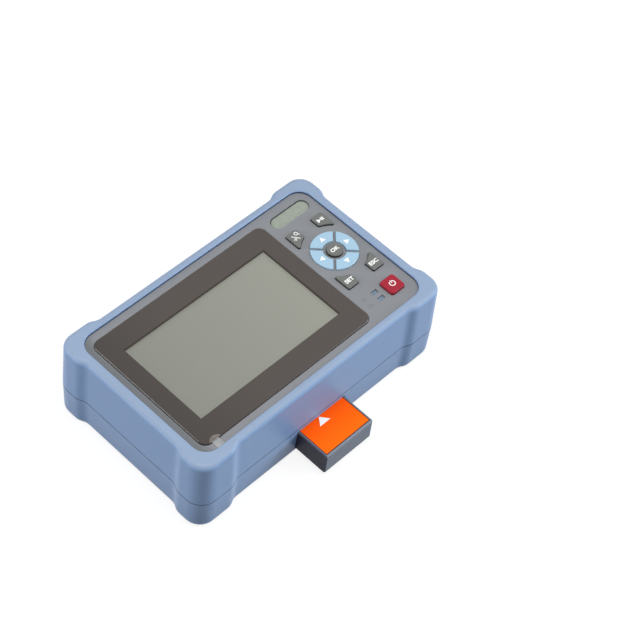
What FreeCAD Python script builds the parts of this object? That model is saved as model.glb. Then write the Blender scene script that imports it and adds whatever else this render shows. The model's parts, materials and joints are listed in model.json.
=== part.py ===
import FreeCAD, Part
import math
import os

# A handheld fibre tester lying on its back. Millimetres, +Z up.
# Origin: centre of the flat underside. +X runs along the long side towards the keys,
# +Y towards the long edge that holds the sockets.

V = FreeCAD.Vector

# ---------------------------------------------------------------- driving dimensions
# housing, measured at the rim
housing_length = 164.5
housing_width = 98.8
housing_height = 50.5
seam_height = 20.3
seam_gap = 0.4
upper_draft = 0.9          # how far the walls lean out from the rim down to the seam
lower_draft = 0.5          # how far they lean in again from the seam down to the underside
wall = 2.6
floor = 2.4
rim_round = 3.0
base_round = 3.0
cavity_radius = 4.0        # the cavity is plain at the corners, where the bumpers are solid
gasket_inset = 0.6
rib_thickness = 1.2        # locating ribs on the floor
rib_height = 5.0
rib_gap = 0.2

# corner bumpers
bumper_out = 2.2
bumper_radius = 9.0
bumper_start_side = 57.5   # along a long wall, from the middle
bumper_start_end = 30.0    # along an end wall, from the middle
bumper_step = 8.0          # length of the S-shaped step from wall to bumper

# housing screws
screw_end_inset = 5.75     # from the end wall at the rim
screw_side_inset = 5.9     # from the long wall at the rim
screw_radius = 1.5
screw_head_radius = 2.8
screw_head_height = 2.0
screw_slot_length = 3.2
screw_slot_width = 0.9
screw_slot_depth = 0.9
screw_bite = 12.0
boss_radius = 4.0
counterbore_depth = 7.0
screw_clearance = 0.05
head_clearance = 0.4

# front panel, set into the rim
rim_width_end = 5.45       # rim between the panel and the end wall
rim_width_side = 4.5       # rim between the panel and the long wall
panel_radius = 8.5
panel_drop = 1.7
panel_thickness = 2.4
panel_gap = 0.15
ledge_width = 2.0
ledge_thickness = 2.2
rim_chamfer = 0.5
pocket_chamfer = 0.4       # edge of the pocket that holds the glass
post_bite = 0.5

# touch glass and display
glass_margin_end = 4.35    # panel left beyond the glass
glass_margin_side = 4.7
key_area = 34.15           # panel left beside the glass for the keys
glass_radius = 4.5
glass_thickness = 1.8
glass_proud = 0.5
glass_chamfer = 0.3
mask_thickness = 0.2
mask_border_end = 10.0     # printed border between the glass edge and the window
mask_border_side = 13.0
window_border = 3.0        # panel opening behind the glass, past the window
window_round = 1.5
cell_border = 2.0          # display cell past the window
cell_gap = 0.1
lcd_border_end = 5.2
lcd_border_side = 3.3
lcd_thickness = 3.4
lcd_round = 0.8
tray_wall = 1.2
tray_floor = 1.2
tray_gap = 0.3
tray_round = 2.0
tray_relief_length = 0.6   # share of the tray's length that its floor opening takes
tray_relief_width = 0.5
tray_relief_round = 4.0

# protective film tab
film_inset = 6.9           # from the end of the glass to the strip's middle
film_chord = 7.5
film_reach = 2.3           # how far it laps over the glass
film_strip = 4.2
film_thickness = 0.15

# keys
pad_inset = 17.15          # from the panel's end to the pad's middle
pad_y = 2.8
pad_outer = 12.7
pad_inner = 6.0
pad_rib = 1.4
ok_radius = 4.35
corner_key_inner = 5.3     # from the pad's centre line to the near side of a corner key
corner_key_width = 7.6
corner_key_low = 12.7      # from the pad's centre to the near end of a corner key
corner_key_length = 10.1
corner_key_scoop = 17.3    # radius of the hollow side, about the pad's centre
corner_key_round = 0.7
power_right = 5.8          # power key, from the pad's middle
power_down = 35.1
power_length = 9.7
power_width = 9.6
power_round = 1.5
key_gap = 0.15
key_flange = 0.5
key_flange_thickness = 1.2
key_top_chamfer = 0.35
key_travel = 0.8
flange_gap = 0.3
pad_proud = 1.0
dark_key_proud = 1.3
ok_proud = 1.5
power_proud = 1.6

# status lights and nameplate
light_left = 4.15          # status lights, from the pad's middle
light_down = (32.2, 37.0)
light_length = 4.0
light_width = 2.4
light_gap = 0.1
light_flange = 0.6
light_flange_thickness = 1.2
light_recess = 0.7
light_lift = 0.2           # light pipe's foot above the keypad mat
plate_right = 0.45         # nameplate, from the pad's middle
plate_up = 32.75
plate_length = 25.6
plate_width = 8.2
plate_thickness = 0.7
plate_recess = 1.3
plate_gap = 0.1
plate_bevel = 0.5

# circuit boards
board_thickness = 1.6
mat_thickness = 1.0
mat_inset = 0.4
mat_post_gap = 0.3
pill_width = 3.4           # square pills of the mat, one under each key
pill_gap = 0.2
key_board_drop = 4.8       # from the panel's underside to the key board's top
key_board_left = 14.85     # key board's edges, from the pad's middle
key_board_right = 15.95
key_board_down = 42.0
key_board_up = 27.2
post_radius = 1.2
post_left = 10.65
post_right = 13.55
post_inset = 1.6
board_end_gap = 7.65       # main board short of the end walls
board_front_gap = 3.8      # and of the front wall
main_board_back = 34.0
main_board_lift = 4.1      # above the seam
standoff_radius = 2.6
standoff_inset_end = 4.0
standoff_inset_side = 8.0

# parts on the main board: middle, length, width, height, corner radius
can_x, can_y, can_length, can_width, can_height = -22.0, -8.0, 36.0, 32.0, 3.0
memory_x, memory_y, memory_length, memory_width, memory_height = 13.0, -8.0, 14.0, 12.0, 1.4
power_can_inset, power_can_y = 22.0, -26.0      # inset from the board's end to the can's middle
power_can_length, power_can_width, power_can_height = 22.0, 18.0, 4.0
plug_out, plug_length, plug_width, plug_height = 4.0, 12.0, 6.0, 5.0      # out from the battery's end
can_round = 1.0
buzzer_inset, buzzer_y, buzzer_radius, buzzer_height = 16.0, 4.0, 6.0, 8.0
buzzer_hole = 1.2
buzzer_hole_depth = 3.0

# battery and optical engine
cell_radius = 9.2
battery_end_gap = 0.7      # least gap to the end wall
battery_bay_gap = 5.2
battery_length = 66.0
battery_filler = 0.7       # half height of the wrap between cells, as a share of the cell radius
strap_width = 12.0
strap_thickness = 1.0
strap_foot = 6.0
engine_end_gap = 2.65
engine_bay_gap = 6.45
engine_width = 68.0
engine_height = 14.0
engine_round = 2.0
fin_count = 7
fin_pitch = 8.0
fin_slot = 3.0
fin_depth = 1.5
fin_inset = 4.0
coil_radius = 24.0
coil_width = 5.0
coil_height = 3.5

# wiring
lead_radius = 0.8
lead_pitch = 2.4
pigtail_radius = 0.45
pigtail_run = 5.0          # from each adapter's tail to the turn
pigtail_inset = 3.5        # nearest a fibre lands to the engine's end
pigtail_slot = 3.0         # width of the board's slot for each fibre
flex_thickness = 0.3
flex_foot = 4.0
display_flex_width = 16.0
display_flex_y = 12.0
key_flex_width = 8.0
key_flex_inset = 6.0       # from the board's end
key_flex_y = 15.0

# socket recesses in the +Y wall, mirrored about x = 0
recess_near = 6.0
recess_far = 56.0
recess_base = 24.0
recess_top = 39.0
recess_depth = 11.4        # from the wall at the rim to the recess floor
recess_wall = 1.5
door_gap = 0.3
door_thickness = 2.6
door_axis_inset = 0.8
door_pin_radius = 0.8
pin_clearance = 0.05
pin_bite = 1.2
grip_width = 14.0
grip_height = 1.2
grip_out = 0.6
grip_root = 0.5

# sockets
socket_inset = 2.9         # from the wall at the rim to the sockets' mouths
tray_clearance = 0.4       # sockets behind the display tray
jack_width = 16.0
jack_height = 11.5
jack_mouth_width = 11.8
jack_mouth_height = 7.6
jack_mouth_depth = 12.0
jack_latch_width = 6.4
jack_latch_height = 2.0
jack_wall = 0.9
contact_count = 8
contact_pitch = 1.02
contact_size = 0.4
contact_drop = 3.0         # how far a contact hangs into the mouth
contact_start = 2.0        # from the mouth's face
contact_run = 7.0
jack_x = -45.0
usb_x = -29.0
usb_width = 9.0
usb_height = 3.3
usb_mouth_depth = 7.0
usb_wall = 0.35
usb_tongue = 0.8
usb_tongue_width = 6.0
charge_x = -14.0
charge_size = 9.0
charge_height = 11.0
charge_radius = 2.9
charge_pin = 1.0
charge_depth = 9.0
socket_gap = 0.2
mouth_step = 1.0           # tongue and pin stop short of the mouth

# optical adapters
adapter_z = 31.5
adapter_x = (16.0, 31.0, 46.0)
adapter_plate = 1.5
adapter_flange = 12.4
adapter_flange_thickness = 2.0
adapter_overlap = 0.5
ferrule_radius = 1.26
ferrule_back_wall = 2.0
sleeve_radius = 2.2
otdr_outer = 4.0
otdr_wall = 0.9
meter_outer = 5.2
meter_wall = 0.8
locator_outer = 3.4
adapter_tail = 7.0
tail_radius = 3.4
adapter_key = 2.0
adapter_key_rise = 0.3

# remote terminator and its bay
remote_width = 33.5
remote_height = 14.2
remote_length = 45.0
remote_out = 19.9          # how far it stands out of the wall
remote_base = 3.0
remote_wall = 1.6
remote_edge = 0.7
remote_gap = 0.3
remote_fit = 0.1           # inner pieces inside the case
bay_wall = 1.5
bay_back_gap = 0.5
label_border = 1.1
label_length = 21.0
label_thickness = 0.25
label_gap = 0.05
remote_end_thickness = 2.0
remote_jack_depth = 16.0
remote_jack_floor = 0.4
remote_board_thickness = 1.2
remote_chip_size = 10.0
remote_chip_height = 1.5
remote_chip_inset = 8.0

# tilt stand on the underside
stand_half_width = 21.6
stand_gap = 0.4
stand_front = 4.0
stand_axis_y = 39.0
stand_axis_z = 2.1
stand_thickness = 2.8
stand_pin_radius = 0.9
stand_recess_depth = 4.2
stand_recess_wall = 1.6
stand_groove = 0.5
stand_groove_pitch = 3.0
stand_groove_inset = 4.0
stand_groove_start = 3.0
stand_groove_count = 4

# ---------------------------------------------------------------- derived places
tolerance = 1e-6

half_length = housing_length / 2
half_width = housing_width / 2
wall_y = half_width + upper_draft      # the plain long wall at the seam
screw_x = half_length - screw_end_inset
screw_y = half_width - screw_side_inset
upper_base = seam_height + seam_gap / 2
lower_top = seam_height - seam_gap / 2

panel_length = housing_length - 2 * rim_width_end
panel_width = housing_width - 2 * rim_width_side
panel_top = housing_height - panel_drop
panel_base = panel_top - panel_thickness
ledge_base = panel_base - ledge_thickness

glass_length = panel_length - glass_margin_end - key_area
glass_width = panel_width - 2 * glass_margin_side
glass_x = -panel_length / 2 + glass_margin_end + glass_length / 2
glass_top = panel_top + glass_proud
glass_base = glass_top - glass_thickness
mask_base = glass_base - mask_thickness
window_length = glass_length - 2 * mask_border_end
window_width = glass_width - 2 * mask_border_side
lcd_length = window_length + 2 * lcd_border_end
lcd_width = window_width + 2 * lcd_border_side
lcd_top = panel_base
lcd_base = lcd_top - lcd_thickness
tray_base = lcd_base - tray_floor
tray_half_width = lcd_width / 2 + tray_gap + tray_wall

pad_x = panel_length / 2 - pad_inset
power_x = pad_x + power_right
power_y = pad_y - power_down
light_x = pad_x - light_left
plate_x = pad_x + plate_right
plate_y = pad_y + plate_up
film_x = glass_x - glass_length / 2 + film_inset

key_board_top = panel_base - key_board_drop
mat_top = key_board_top + mat_thickness
flange_top = panel_base - flange_gap
flange_base = flange_top - key_flange_thickness
pill_top = flange_base - key_travel - pill_gap
main_board_base = seam_height + main_board_lift
main_board_top = main_board_base + board_thickness
main_board_half_length = half_length - wall - board_end_gap
main_board_front = -(half_width - wall - board_front_gap)
power_can_x = main_board_half_length - power_can_inset
buzzer_x = main_board_half_length - buzzer_inset
key_flex_x = main_board_half_length - key_flex_inset

recess_floor_y = half_width - recess_depth
door_axis_y = half_width - door_axis_inset
door_axis_z = recess_base + door_gap + door_thickness / 2
socket_front = half_width - socket_inset
socket_back = tray_half_width + tray_clearance

remote_front = -wall_y - remote_out
remote_back = remote_front + remote_length
remote_top = remote_base + remote_height
remote_inner_half = remote_width / 2 - remote_wall - remote_fit
remote_board_base = remote_base + remote_wall
remote_jack_base = remote_board_base + remote_fit
bay_back = -wall_y + remote_length + bay_back_gap
bay_low = remote_base - remote_gap
bay_high = remote_base + remote_height + remote_gap
bay_half = remote_width / 2 + remote_gap

battery_right = -(bay_half + bay_wall + battery_bay_gap)
battery_room = half_length - wall - battery_end_gap + battery_right
cell_count = int((battery_room + tolerance) / (2 * cell_radius))      # as many as fit side by side
battery_left = battery_right - 2 * cell_radius * cell_count
battery_middle = (battery_left + battery_right) / 2
battery_top = floor + 2 * cell_radius
plug_x = battery_right - cell_radius
plug_y = -(battery_length / 2 + plug_out)
engine_left = bay_half + bay_wall + engine_bay_gap
engine_right = half_length - wall - engine_end_gap
engine_x = (engine_left + engine_right) / 2
engine_top = floor + engine_height


# fibres behind the adapters
tail_end_y = recess_floor_y + adapter_plate - adapter_tail
pigtail_turn_y = tail_end_y - pigtail_run


def pigtail_landing(x):
    """Where along the engine's lid the fibre from the adapter at x lands."""
    return max(x, engine_left + pigtail_inset)


# ---------------------------------------------------------------- shape helpers


def box(x0, x1, y0, y1, z0, z1):
    return Part.makeBox(x1 - x0, y1 - y0, z1 - z0, V(x0, y0, z0))


def post(radius, x, y, z0, z1):
    return Part.makeCylinder(radius, z1 - z0, V(x, y, z0))


def rod_x(radius, x0, x1, y, z):
    return Part.makeCylinder(radius, x1 - x0, V(x0, y, z), V(1, 0, 0))


def rod_y(radius, y0, y1, x, z):
    return Part.makeCylinder(radius, y1 - y0, V(x, y0, z), V(0, 1, 0))


def is_upright(edge):
    first, last = edge.Vertexes[0].Point, edge.Vertexes[-1].Point
    across = math.hypot(first.x - last.x, first.y - last.y)
    return across < tolerance and abs(first.z - last.z) > tolerance


def edges_at_height(shape, z):
    return [e for e in shape.Edges if all(abs(v.Z - z) < tolerance for v in e.Vertexes)]


def edges_within(shape, z, x, length, width):
    """Edges at height z inside a rectangle centred at x, 0."""
    slack = 0.01
    return [e for e in edges_at_height(shape, z)
            if max(e.BoundBox.XMax - x, x - e.BoundBox.XMin) < length / 2 + slack
            and max(e.BoundBox.YMax, -e.BoundBox.YMin) < width / 2 + slack]


def rounded_block(x, y, length, width, radius, z0, z1):
    """Upright block with round corners, centred at x, y."""
    block = box(x - length / 2, x + length / 2, y - width / 2, y + width / 2, z0, z1)
    return block.makeFillet(radius, [e for e in block.Edges if is_upright(e)])


def prism(points, z0, z1):
    """Upright prism over a polygon of (x, y) points."""
    wire = Part.makePolygon([V(x, y, z0) for x, y in points + points[:1]])
    return Part.Face(wire).extrude(V(0, 0, z1 - z0))


def profile_x(points, x0, x1):
    """Prism along X over a polygon of (y, z) points."""
    wire = Part.makePolygon([V(x0, y, z) for y, z in points + points[:1]])
    return Part.Face(wire).extrude(V(x1 - x0, 0, 0))


def lead(points, radius):
    """Plain round lead along a run of points, mitred at each turn."""
    run = [V(*p) for p in points]
    section = Part.Wire(Part.Circle(run[0], run[1] - run[0], radius).toShape())
    right_corners = 1
    return Part.makePolygon(run).makePipeShell([section], True, False, right_corners)


def fuse_all(shapes):
    return shapes[0].multiFuse(shapes[1:]).removeSplitter()


def save(name, *shapes):
    shape = shapes[0] if len(shapes) == 1 else Part.makeCompound(list(shapes))
    shape.exportStep("parts/" + name + ".step")


# ---------------------------------------------------------------- housing outline
def step_arcs(start, along, out, length, height):
    """Two tangent arcs that carry a wall outwards by height over length."""
    radius = (length ** 2 + height ** 2) / (4 * height)
    half_turn = math.asin(length / 2 / radius) / 2
    mid_along = radius * math.sin(half_turn)
    mid_out = radius * (1 - math.cos(half_turn))

    def at(u, v):
        return start + along * u + out * v

    middle = at(length / 2, height / 2)
    end = at(length, height)
    first = Part.Arc(start, at(mid_along, mid_out), middle).toShape()
    second = Part.Arc(middle, at(length - mid_along, height - mid_out), end).toShape()
    return [first, second], end


def corner_edges(sign_x, sign_y, a, b, radius, z):
    """One bumper: step, flat, round corner, flat, step, from the end wall to the long wall."""
    out_x, out_y = V(sign_x, 0, 0), V(0, sign_y, 0)
    end_start = V(sign_x * a, sign_y * bumper_start_end, z)
    side_start = V(sign_x * bumper_start_side, sign_y * b, z)
    end_step, end_top = step_arcs(end_start, out_y, out_x, bumper_step, bumper_out)
    side_step, side_top = step_arcs(side_start, out_x, out_y, bumper_step, bumper_out)
    centre = V(sign_x * (a + bumper_out - radius), sign_y * (b + bumper_out - radius), z)
    on_end = centre + out_x * radius
    on_side = centre + out_y * radius
    on_corner = centre + (out_x + out_y) * (radius / math.sqrt(2))
    edges = end_step
    edges.append(Part.LineSegment(end_top, on_end).toShape())
    edges.append(Part.Arc(on_end, on_corner, on_side).toShape())
    edges.append(Part.LineSegment(on_side, side_top).toShape())
    return edges + side_step, end_start, side_start


def housing_wire(grow, z):
    """The housing's outline, grown outwards by grow, with a bumper at each corner."""
    a, b = half_length + grow, half_width + grow
    radius = bumper_radius + grow
    ne, ne_end, ne_side = corner_edges(1, 1, a, b, radius, z)
    nw, nw_end, nw_side = corner_edges(-1, 1, a, b, radius, z)
    sw, sw_end, sw_side = corner_edges(-1, -1, a, b, radius, z)
    se, se_end, se_side = corner_edges(1, -1, a, b, radius, z)
    edges = ne + [Part.LineSegment(ne_side, nw_side).toShape()]
    edges += nw + [Part.LineSegment(nw_end, sw_end).toShape()]
    edges += sw + [Part.LineSegment(sw_side, se_side).toShape()]
    edges += se + [Part.LineSegment(se_end, ne_end).toShape()]
    return Part.Wire(Part.__sortEdges__(edges))


def grow_at(z):
    """How far the drafted walls stand outside their rim outline at height z."""
    if z >= seam_height:
        return upper_draft * (housing_height - z) / (housing_height - seam_height)
    return upper_draft - lower_draft * (seam_height - z) / seam_height


def housing_block(z0, z1, inset):
    low = housing_wire(grow_at(z0) - inset, z0)
    high = housing_wire(grow_at(z1) - inset, z1)
    return Part.makeLoft([low, high], True, True)


def cavity_block(z0, z1, inset):
    """Drafted block with plain round corners, inset from the walls between the bumpers."""
    wires = []
    for z in (z0, z1):
        length = 2 * (half_length + grow_at(z) - inset)
        width = 2 * (half_width + grow_at(z) - inset)
        block = rounded_block(0, 0, length, width, cavity_radius, z, z + 1)
        wires.append(Part.Wire(Part.__sortEdges__(edges_at_height(block, z))))
    return Part.makeLoft(wires, True, True)


def corners(x, y):
    return [(sx * x, sy * y) for sx in (-1, 1) for sy in (-1, 1)]


# ---------------------------------------------------------------- key outlines
def arrow_key(angle):
    """Quarter of the ring round the OK key, between two diagonal ribs."""
    def block(grow, z0, z1):
        outer = post(pad_outer + grow, pad_x, pad_y, z0, z1)
        inner = post(pad_inner - grow, pad_x, pad_y, z0, z1)
        apex = (pad_rib / 2 - grow) * math.sqrt(2)
        reach = pad_outer * 2
        wedge = prism([(apex, 0), (apex + reach, reach), (apex + reach, -reach)], z0, z1)
        wedge.rotate(V(0, 0, 0), V(0, 0, 1), angle)
        wedge.translate(V(pad_x, pad_y, 0))
        return outer.cut(inner).common(wedge)
    return block


def ok_key():
    def block(grow, z0, z1):
        return post(ok_radius + grow, pad_x, pad_y, z0, z1)
    return block


def corner_key(sign_x, sign_y):
    """Upright key beside the ring, hollowed on the side that faces it."""
    def block(grow, z0, z1):
        x = pad_x + sign_x * (corner_key_inner + corner_key_width / 2)
        y = pad_y + sign_y * (corner_key_low + corner_key_length / 2)
        length = corner_key_width + 2 * grow
        width = corner_key_length + 2 * grow
        key = box(x - length / 2, x + length / 2, y - width / 2, y + width / 2, z0, z1)
        key = key.cut(post(corner_key_scoop - grow, pad_x, pad_y, z0, z1))
        return key.makeFillet(corner_key_round, [e for e in key.Edges if is_upright(e)])
    return block


def power_key():
    def block(grow, z0, z1):
        length = power_width + 2 * grow
        width = power_length + 2 * grow
        return rounded_block(power_x, power_y, length, width, power_round, z0, z1)
    return block


keys = {
    "key_right": (arrow_key(0), pad_proud),
    "key_up": (arrow_key(90), pad_proud),
    "key_left": (arrow_key(180), pad_proud),
    "key_down": (arrow_key(270), pad_proud),
    "key_ok": (ok_key(), ok_proud),
    "key_tools": (corner_key(-1, 1), dark_key_proud),
    "key_run": (corner_key(1, 1), dark_key_proud),
    "key_set": (corner_key(-1, -1), dark_key_proud),
    "key_escape": (corner_key(1, -1), dark_key_proud),
    "key_power": (power_key(), power_proud),
}


def make_key(block, proud):
    """Cap through the panel on a flange that stops under it."""
    top = panel_top + proud
    cap = block(0, flange_base, top)
    cap = cap.makeChamfer(key_top_chamfer, edges_at_height(cap, top))
    flange = block(key_flange, flange_base, flange_top)
    return cap.fuse(flange).removeSplitter()


# ---------------------------------------------------------------- housing shells
def recess_span(side):
    near, far = sorted((side * recess_near, side * recess_far))
    return near, far


def recess_body(side):
    low, high = recess_span(side)
    return box(low - recess_wall, high + recess_wall, recess_floor_y - recess_wall, half_width,
               recess_base - recess_wall, recess_top + recess_wall)


def recess_hollow(side):
    low, high = recess_span(side)
    return box(low, high, recess_floor_y, half_width * 2, recess_base, recess_top)


def door_pin(side, radius, bite):
    low, high = recess_span(side)
    return rod_x(radius, low - bite, high + bite, door_axis_y, door_axis_z)


def make_upper_housing():
    outer = housing_block(upper_base, housing_height, 0)
    outer = outer.makeFillet(rim_round, edges_at_height(outer, housing_height))
    cavity = cavity_block(upper_base - 1, ledge_base, wall)
    seat = rounded_block(0, 0, panel_length, panel_width, panel_radius, panel_base, housing_height + 1)
    opening = rounded_block(0, 0, panel_length - 2 * ledge_width, panel_width - 2 * ledge_width,
                            panel_radius - ledge_width, ledge_base - 1, housing_height)
    shell = outer.cut(cavity).cut(seat)
    shell = shell.makeChamfer(rim_chamfer, edges_within(shell, housing_height, 0, panel_length, panel_width))
    shell = shell.cut(opening)
    keep = cavity_block(upper_base, ledge_base + ledge_thickness / 2, wall / 2)
    bosses = [post(boss_radius, x, y, upper_base, ledge_base + ledge_thickness / 2)
              for x, y in corners(screw_x, screw_y)]
    bodies = [recess_body(side) for side in (-1, 1)]
    shell = shell.multiFuse([piece.common(keep) for piece in bosses] + bodies)
    for side in (-1, 1):
        shell = shell.cut(recess_hollow(side))
        shell = shell.cut(door_pin(side, door_pin_radius + pin_clearance, pin_bite + pin_clearance))
    for x, y in corners(screw_x, screw_y):
        shell = shell.cut(post(screw_radius + screw_clearance, x, y, upper_base - 1,
                               upper_base + screw_bite + 1))
    shell = shell.cut(jack_cutout()).cut(usb_cutout()).cut(charge_cutout())
    for x in adapter_x:
        shell = shell.cut(rod_y(tail_radius + socket_gap, recess_floor_y - 2 * recess_wall,
                                recess_floor_y + 1, x, adapter_z))
    return shell.removeSplitter()


def stand_recess(grow):
    half = stand_half_width + stand_gap + grow
    back = stand_axis_y + stand_thickness / 2 + stand_gap + grow
    return box(-half, half, stand_front - stand_gap - grow, back, -1, stand_recess_depth + grow)


def stand_pin(radius, bite):
    half = stand_half_width + stand_gap + bite
    return rod_x(radius, -half, half, stand_axis_y, stand_axis_z)


def floor_rib(x0, x1, y0, y1):
    return box(x0, x1, y0, y1, floor / 2, floor + rib_height)


def floor_ribs():
    """Ribs that locate the optical engine and the battery, clear of the battery's strap."""
    ribs = [floor_rib(engine_right + rib_gap, engine_right + rib_gap + rib_thickness,
                      -engine_width / 4, engine_width / 4)]
    strap_reach = strap_width / 2 + strap_thickness
    for side in (-1, 1):
        near = engine_width / 2 + rib_gap
        y0, y1 = sorted((side * near, side * (near + rib_thickness)))
        ribs.append(floor_rib(engine_left + engine_round, engine_right - engine_round, y0, y1))
        near = battery_length / 2 + rib_gap
        y0, y1 = sorted((side * near, side * (near + rib_thickness)))
        ribs.append(floor_rib(battery_left + cell_radius / 2, battery_middle - strap_reach, y0, y1))
        ribs.append(floor_rib(battery_middle + strap_reach, battery_right - cell_radius / 2, y0, y1))
    return ribs


def make_lower_housing():
    outer = housing_block(0, lower_top, 0)
    outer = outer.makeFillet(base_round, edges_at_height(outer, 0))
    cavity = cavity_block(floor, lower_top + 1, wall)
    shell = outer.cut(cavity)
    keep = cavity_block(0, lower_top, wall / 2)
    bay = box(-bay_half - bay_wall, bay_half + bay_wall, -wall_y, bay_back + bay_wall,
              floor / 2, bay_high + bay_wall)
    bosses = [post(boss_radius, x, y, floor / 2, lower_top) for x, y in corners(screw_x, screw_y)]
    stand_box = stand_recess(stand_recess_wall)
    stand_box = stand_box.common(box(-half_length, half_length, -half_width, half_width,
                                     floor / 2, lower_top))
    inner = [piece.common(keep) for piece in bosses + floor_ribs() + [bay]]
    shell = shell.multiFuse(inner + [stand_box])
    shell = shell.cut(box(-bay_half, bay_half, -2 * half_width, bay_back, bay_low, bay_high))
    shell = shell.cut(stand_recess(0))
    shell = shell.cut(stand_pin(stand_pin_radius + pin_clearance, pin_bite + pin_clearance))
    for x, y in corners(screw_x, screw_y):
        shell = shell.cut(post(screw_head_radius + head_clearance, x, y, -1, counterbore_depth))
        shell = shell.cut(post(screw_radius + screw_clearance, x, y, 0, lower_top + 1))
    return shell.removeSplitter()


def make_seam_gasket():
    outer = housing_block(lower_top, upper_base, gasket_inset)
    inner = cavity_block(lower_top - 1, upper_base + 1, wall)
    gasket = outer.cut(inner)
    for x, y in corners(screw_x, screw_y):
        gasket = gasket.cut(post(screw_radius + screw_clearance, x, y, lower_top - 1, upper_base + 1))
    return gasket


def make_housing_screw(x, y):
    head_base = counterbore_depth - screw_head_height
    head = post(screw_head_radius, x, y, head_base, counterbore_depth)
    for length, width in ((screw_slot_length, screw_slot_width), (screw_slot_width, screw_slot_length)):
        head = head.cut(box(x - length / 2, x + length / 2, y - width / 2, y + width / 2,
                            head_base - 1, head_base + screw_slot_depth))
    return head.fuse(post(screw_radius, x, y, counterbore_depth, upper_base + screw_bite))


# ---------------------------------------------------------------- front panel and display
def light_block(grow, y, z0, z1):
    return box(light_x - light_length / 2 - grow, light_x + light_length / 2 + grow,
               y - light_width / 2 - grow, y + light_width / 2 + grow, z0, z1)


def nameplate_block(grow, z0, z1):
    """Upright block with half-round ends."""
    reach = (plate_length - plate_width) / 2
    radius = plate_width / 2 + grow
    middle = box(plate_x - reach, plate_x + reach, plate_y - radius, plate_y + radius, z0, z1)
    return fuse_all([middle] + [post(radius, plate_x + side * reach, plate_y, z0, z1) for side in (-1, 1)])


def make_nameplate():
    base = panel_top - plate_recess
    plate = nameplate_block(-plate_gap, base, base + plate_thickness)
    return plate.makeChamfer(plate_bevel, edges_at_height(plate, base + plate_thickness))


def make_front_panel():
    panel = rounded_block(0, 0, panel_length - 2 * panel_gap, panel_width - 2 * panel_gap,
                          panel_radius - panel_gap, panel_base, panel_top)
    panel = panel.cut(rounded_block(glass_x, 0, glass_length + 2 * panel_gap,
                                    glass_width + 2 * panel_gap, glass_radius, mask_base, panel_top + 1))
    rim = edges_within(panel, panel_top, glass_x, glass_length + 2 * panel_gap, glass_width + 2 * panel_gap)
    panel = panel.makeChamfer(pocket_chamfer, rim)
    panel = panel.cut(rounded_block(glass_x, 0, window_length + 2 * window_border,
                                    window_width + 2 * window_border, window_round,
                                    panel_base - 1, panel_top))
    for block, _ in keys.values():
        panel = panel.cut(block(key_gap, panel_base - 1, panel_top + 1))
    for y in light_rows:
        panel = panel.cut(light_block(0, y, panel_base - 1, panel_top + 1))
    panel = panel.cut(nameplate_block(0, panel_top - plate_recess, panel_top + 1))
    posts = [post(post_radius, x, y, key_board_top, panel_base + post_bite)
             for x in (pad_x - post_left, pad_x + post_right)
             for y in (key_board_low + post_inset, key_board_high - post_inset)]
    return panel.multiFuse(posts).removeSplitter()


def make_touch_glass():
    glass = rounded_block(glass_x, 0, glass_length, glass_width, glass_radius, glass_base, glass_top)
    return glass.makeChamfer(glass_chamfer, edges_at_height(glass, glass_top))


def window_block(grow, z0, z1):
    return box(glass_x - window_length / 2 - grow, glass_x + window_length / 2 + grow,
               -window_width / 2 - grow, window_width / 2 + grow, z0, z1)


def make_display_mask():
    frame = rounded_block(glass_x, 0, glass_length, glass_width, glass_radius, mask_base, glass_base)
    return frame.cut(window_block(0, mask_base - 1, glass_base + 1))


def make_lcd_module():
    """Flat module whose glass cell stands up behind the window."""
    body = rounded_block(glass_x, 0, lcd_length, lcd_width, lcd_round, lcd_base, lcd_top)
    return body.fuse(window_block(cell_border, lcd_top, mask_base - cell_gap)).removeSplitter()


def make_lcd_tray():
    inner_length = lcd_length + 2 * tray_gap
    inner_width = lcd_width + 2 * tray_gap
    outer = rounded_block(glass_x, 0, inner_length + 2 * tray_wall, inner_width + 2 * tray_wall,
                          tray_round, tray_base, lcd_top)
    hollow = rounded_block(glass_x, 0, inner_length, inner_width, lcd_round, lcd_base, lcd_top + 1)
    relief = rounded_block(glass_x, 0, inner_length * tray_relief_length, inner_width * tray_relief_width,
                           tray_relief_round, tray_base - 1, lcd_top)
    return outer.cut(hollow).cut(relief)


def make_film_tab():
    """Pull tab of the display film: a lip on the glass and a strip folded down to the panel."""
    edge = -glass_width / 2
    rim = -panel_width / 2
    film_top = glass_top + film_thickness
    low_top = panel_top + film_thickness
    fold = edge - film_thickness
    strip = profile_x([(edge, glass_top), (edge, film_top), (fold, film_top), (fold, low_top),
                       (rim, low_top), (rim, panel_top), (fold - panel_gap, panel_top), (edge, low_top)],
                      film_x - film_strip / 2, film_x + film_strip / 2)
    radius = ((film_chord / 2) ** 2 + film_reach ** 2) / (2 * film_reach)
    lip = post(radius, film_x, edge + film_reach - radius, glass_top, film_top)
    lip = lip.common(box(film_x - film_chord / 2, film_x + film_chord / 2, edge, edge + film_reach,
                         glass_top, film_top))
    return strip.fuse(lip).removeSplitter()


# ---------------------------------------------------------------- key electronics
light_rows = [pad_y - down for down in light_down]
key_board_low = pad_y - key_board_down
key_board_high = pad_y + key_board_up


def make_status_light(y):
    pipe = light_block(-light_gap, y, mat_top + light_lift, panel_top - light_recess)
    collar = light_block(light_flange, y, panel_base - light_flange_thickness, panel_base)
    return pipe.fuse(collar).removeSplitter()


def make_key_board():
    return box(pad_x - key_board_left, pad_x + key_board_right, key_board_low, key_board_high,
               key_board_top - board_thickness, key_board_top)


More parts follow.
